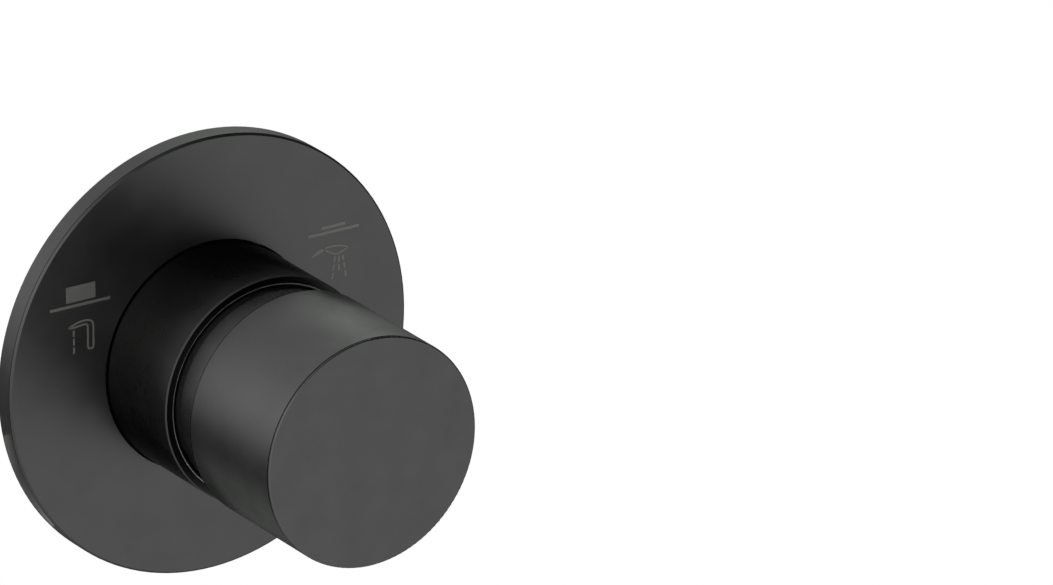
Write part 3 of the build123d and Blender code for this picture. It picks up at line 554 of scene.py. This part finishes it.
def thread_tree():
    """A Geometry Nodes tree that sweeps a thread's ridge along a helix round Z."""
    tree = bpy.data.node_groups.new("pipe_thread", "GeometryNodeTree")
    tree.interface.new_socket("Geometry", in_out="INPUT", socket_type="NodeSocketGeometry")
    for name in ("Bore radius", "Pitch", "Length", "Depth", "Crest width", "Root width"):
        tree.interface.new_socket(name, in_out="INPUT", socket_type="NodeSocketFloat")
    tree.interface.new_socket("Material", in_out="INPUT", socket_type="NodeSocketMaterial")
    tree.interface.new_socket("Geometry", in_out="OUTPUT", socket_type="NodeSocketGeometry")
    given = add_node(tree, "NodeGroupInput").outputs
    turns = add_node(tree, "ShaderNodeMath", {0: given["Length"], 1: given["Pitch"]}, operation="DIVIDE")
    helix_inputs = {
        "Resolution": thread_steps_per_turn,
        "Rotations": turns,
        "Start Radius": given["Bore radius"],
        "End Radius": given["Bore radius"],
        "Height": given["Length"],
    }
    helix = add_node(tree, "GeometryNodeCurveSpiral", helix_inputs)
    upright = add_node(tree, "GeometryNodeSetCurveNormal", {"Curve": helix}, mode="Z_UP")
    ridge_inputs = {
        "Height": given["Depth"],
        "Bottom Width": given["Root width"],
        "Top Width": given["Crest width"],
        "Offset": 0.0,
    }
    ridge = add_node(tree, "GeometryNodeCurvePrimitiveQuadrilateral", ridge_inputs, mode="TRAPEZOID")
    # The ridge stands on the bore's wall and points inwards, so its middle lies half its depth inside.
    inward = add_node(tree, "ShaderNodeMath", {0: given["Depth"], 1: -0.5}, operation="MULTIPLY")
    seat = add_node(tree, "ShaderNodeCombineXYZ", {"X": inward})
    turn_inputs = {"Geometry": ridge, "Rotation": (0, 0, math.pi / 2), "Translation": seat}
    turned = add_node(tree, "GeometryNodeTransform", turn_inputs)
    sweep_inputs = {"Curve": upright, "Profile Curve": turned, "Fill Caps": True}
    sweep = add_node(tree, "GeometryNodeCurveToMesh", sweep_inputs)
    real = add_node(tree, "GeometryNodeRealizeInstances", {"Geometry": sweep})
    finished = add_node(tree, "GeometryNodeSetMaterial", {"Geometry": real, "Material": given["Material"]})
    add_node(tree, "NodeGroupOutput", {"Geometry": finished})
    return tree


def port_thread(name, tree, mount_name):
    """Puts the thread's ridges in one port, along the mount's axis, and leaves its mouth free."""
    mount = next(m for m in frame["record"]["mounts"] if m["name"] == mount_name)
    outwards = Vector(mount["axis"])
    bore_radius = mount["dims"]["r_mm"] * MM
    bore_middle = Vector(mount["pos_m"])
    inner_end = bore_middle - outwards * mount["dims"]["length_mm"] * MM / 2
    carrier = bpy.data.objects.new(name, bpy.data.meshes.new(name))
    bpy.context.scene.collection.objects.link(carrier)
    modifier = carrier.modifiers.new("thread", "NODES")
    modifier.node_group = tree
    values = {
        "Bore radius": bore_radius,
        "Pitch": thread_pitch_mm * MM,
        "Length": thread_length_mm * MM,
        "Depth": thread_depth_mm * MM,
        "Crest width": thread_crest_mm * MM,
        "Root width": thread_root_mm * MM,
        "Material": thread_material,
    }
    for socket in tree.interface.items_tree:
        if socket.in_out == "INPUT" and socket.name in values:
            modifier[socket.identifier] = values[socket.name]
    evaluated = carrier.evaluated_get(bpy.context.evaluated_depsgraph_get())
    mesh = bpy.data.meshes.new_from_object(evaluated)
    bpy.data.objects.remove(carrier)
    turn = Vector((0, 0, 1)).rotation_difference(outwards).to_matrix().to_4x4()
    lift = outwards * (mount["dims"]["length_mm"] - thread_length_mm - thread_lead_in_mm) * MM
    mesh.transform(Matrix.Translation(inner_end + lift) @ turn)
    return new_piece(name, mesh, "fixed_valve", thread_material)


def dress(material, *nodes):
    """Gives a material to whole nodes of the frame."""
    for node in nodes:
        mesh = frame["nodes"][node].data
        mesh.materials.clear()
        mesh.materials.append(material)


def stage_sheet(name, corners, faces, material):
    """Puts up a sheet of the surroundings, which isn't part of the object."""
    mesh = bpy.data.meshes.new(name)
    mesh.from_pydata(corners, [], faces)
    mesh.materials.append(material)
    sheet = bpy.data.objects.new(name, mesh)
    bpy.context.scene.collection.objects.link(sheet)


def wall_ring(name, radii, material, setback_mm=wall_setback_mm, arc_deg=(0, 360)):
    """A sheet of the wall round the knob's axis. Without an outer radius it runs on as a square."""
    inner_radius, outer_radius = radii
    first_deg, last_deg = arc_deg
    half = wall_half_size_mm * MM
    back = Vector((0, setback_mm * MM, 0))
    corners = []
    for index in range(wall_steps + 1):
        angle = math.radians(first_deg + (last_deg - first_deg) * index / wall_steps)
        direction = Vector((math.cos(angle), 0, math.sin(angle)))
        reach = outer_radius or half / max(abs(direction.x), abs(direction.z))
        corners += [direction * inner_radius + back, direction * reach + back]
    faces = [(inner, inner + 1, inner + 3, inner + 2) for inner in range(0, 2 * wall_steps, 2)]
    stage_sheet(name, corners, faces, material)


def surroundings():
    """A pale wall behind the trim, a black sheet of painted shade in the hole that the plate covers, and a
    pale floor well below.
    """
    hole = wall_hole_radius_mm * MM
    wall_ring("wall_front", (hole, None), plain_surroundings("pale_wall", "#f2f2f0", 1.0))
    # The black sheet paints the shade inside the wall behind the plate, round the sleeve.
    wall_ring("wall_hole", (sleeve_high.x, hole), plain_surroundings("painted_shade_in_wall_hole", "#050505", 0.0))
    # The plate's rim mirrors the lit wall beside it at its lower left.
    lit_radii = [radius * MM for radius in lit_wall_radii_mm]
    lit_wall = plain_surroundings("lit_wall", "#f2f2f0", 1.0, lit_wall_light)
    wall_ring("lit_wall", lit_radii, lit_wall, lit_wall_setback_mm, lit_wall_arc_deg)
    half = wall_half_size_mm * MM
    down = -floor_drop_mm * MM
    corners = [(-half, -half, down), (half, -half, down), (half, half, down), (-half, half, down)]
    stage_sheet("pale_floor", corners, [range(4)], plain_surroundings("pale_floor", "#ececea", 1.0))


def light_round(tree, turn, levels):
    """Light by the angle round the knob's axis, from a table of angles and levels."""
    ramp = add_node(tree, "ShaderNodeValToRGB", {"Fac": turn})
    stops = ramp.color_ramp.elements
    # A new ramp has a stop at each end, and the others are added between them.
    for index, (angle, level) in enumerate(levels):
        if index in (0, len(levels) - 1):
            stop = stops[0 if index == 0 else -1]
            stop.position = angle / 360
        else:
            stop = stops.new(angle / 360)
        share = level / brightest_light
        stop.color = (share, share, share, 1.0)
    return ramp


def studio_light():
    """White to the eye all round. Metal mirrors rings of light: behind the wall, beside it and in front."""
    world = bpy.data.worlds.new("studio_light")
    world.use_nodes = True
    tree = world.node_tree
    tree.nodes.clear()
    direction = add_node(tree, "ShaderNodeTexCoord").outputs["Generated"]
    apart = add_node(tree, "ShaderNodeSeparateXYZ", {0: direction}).outputs
    # The angle runs from -180 to 180 degrees, and the tables from 0 to 360.
    angle = add_node(tree, "ShaderNodeMath", {0: apart["Z"], 1: apart["X"]}, operation="ARCTAN2")
    turns = add_node(tree, "ShaderNodeMath", {0: angle, 1: 2 * math.pi}, operation="DIVIDE")
    turn = add_node(tree, "ShaderNodeMath", {0: turns, 1: 1.0}, operation="FLOORED_MODULO")
    light = light_round(tree, turn, light_behind)
    for levels, (start, full) in ((light_beside, beside_blend), (light_in_front, front_blend)):
        share_inputs = {"Value": apart["Y"], "From Min": start, "From Max": full}
        share = add_node(tree, "ShaderNodeMapRange", share_inputs)
        lights = {"Factor": share, "A": light, "B": light_round(tree, turn, levels)}
        light = add_node(tree, "ShaderNodeMix", lights, data_type="RGBA")
    mirrored = add_node(tree, "ShaderNodeBackground", {"Color": light, "Strength": brightest_light})
    plain = add_node(tree, "ShaderNodeBackground", {"Color": linear("#ffffff"), "Strength": 1.0})
    seen = add_node(tree, "ShaderNodeLightPath").outputs["Is Camera Ray"]
    sky = add_node(tree, "ShaderNodeMixShader", {0: seen, 1: mirrored, 2: plain})
    add_node(tree, "ShaderNodeOutputWorld", {"Surface": sky})
    bpy.context.scene.world = world


def camera():
    """The photograph's camera: its direction, its distance, and where the origin falls in the picture."""
    data = bpy.data.cameras.new("camera")
    data.sensor_width = sensor_width_mm
    data.lens = camera_focal_px / photo_width_px * sensor_width_mm
    data.clip_start, data.clip_end = camera_reach_m
    view = bpy.data.objects.new("camera", data)
    bpy.context.scene.collection.objects.link(view)
    view.rotation_euler = (math.radians(90 - camera_elevation_deg), 0, math.radians(camera_azimuth_deg))
    distance = camera_distance_mm * MM
    across = (origin_across_px - photo_width_px / 2) / camera_focal_px
    up = (photo_height_px / 2 - origin_down_px) / camera_focal_px
    origin_seen = Vector((across * distance, up * distance, -distance))
    view.location = -(view.rotation_euler.to_matrix() @ origin_seen)
    bpy.context.scene.camera = view


# The plate has a painted hairline of shadow behind its turned front edge.
plate_line_mm = plate_face_y / MM + plate_chamfer_mm
plate_bands = [((plate_line_mm, plate_line_mm + hairline_mm), hairline_shade)]

# The sleeve's end has a painted highlight on its inner lip, painted shade on its flat face and a painted
# highlight on its outer edge.
sleeve_front_mm = sleeve_low.y / MM
sleeve_end_mm = (sleeve_front_mm - ring_past_face_mm, sleeve_front_mm + sleeve_chamfer_mm)
sleeve_edge_mm = sleeve_high.x / MM - sleeve_chamfer_mm
sleeve_rings = [
    (sleeve_end_mm, (0.0, sleeve_lip_radius_mm), "#d6d6d2", bright_edge_roughness),
    (sleeve_end_mm, (sleeve_lip_radius_mm, sleeve_edge_mm), "#2b2c2b", max(tube_roughness)),
    (sleeve_end_mm, (sleeve_edge_mm, sleeve_edge_mm + ring_past_edge_mm), "#4a4b4a", bright_edge_roughness),
]

# The knob has a painted hairline of shadow at its rear edge, a painted line of shadow at its front edge and
# painted light on its neck, which makes it lighter.
knob_rear_mm = sleeve_front_mm - knob_gap_mm
knob_rear_line_mm = knob_rear_mm - knob_chamfer_mm - hairline_mm
knob_front_line_mm = knob_front_y / MM + knob_chamfer_mm
knob_bands = [
    ((knob_rear_line_mm, knob_rear_mm), hairline_shade),
    ((knob_front_line_mm, knob_front_line_mm + edge_line_mm), edge_line_shade),
    ((knob_rear_mm, 0.0), neck_shade),
]

plate_material = satin_anthracite("satin_anthracite_plate", plate_roughness, bands=plate_bands)
sleeve_material = satin_anthracite("satin_anthracite_sleeve", tube_roughness, rings=sleeve_rings)
knob_material = satin_anthracite("satin_anthracite_knob", tube_roughness, bands=knob_bands)
laser_mark_material = laser_mark()
turned_material = turned_brass()
thread_material = thread_brass()

dress(plate_material, "wall_plate")
dress(sleeve_material, "sleeve")
dress(knob_material, "knob")
dress(cast_brass(), "valve_body")
dress(turned_material, "bonnet", "gland_nut", "packing_washer", "handle_adapter", "sleeve_carrier")
dress(turned_material, "spindle", "valve_disc")
dress(stainless_steel(), "back_washer", "disc_nut", "adapter_screw", "grub_screw", "return_spring")
dress(sealing_foam(), "plate_gasket")
dress(guide_plastic(), "neck_guide_ring")
dress(seal_rubber(), *(node for node in frame["nodes"] if "o_ring" in node or "seat_washer" in node))

# The return spring gets a mesh of its own; the real spring shortens towards the gland nut while the knob
# goes in.
spring = frame["nodes"]["return_spring"]
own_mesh(spring)

symbol("spout_symbol", draw_spout_symbol)
symbol("hand_shower_symbol", draw_shower_symbol)

pipe_thread = thread_tree()
port_thread("inlet_thread", pipe_thread, "inlet")
port_thread("hand_shower_thread", pipe_thread, "outlet_hand_shower")
port_thread("bath_spout_thread", pipe_thread, "outlet_bath_spout")

surroundings()
studio_light()
camera()
bpy.context.scene.view_settings.view_transform = "Standard"
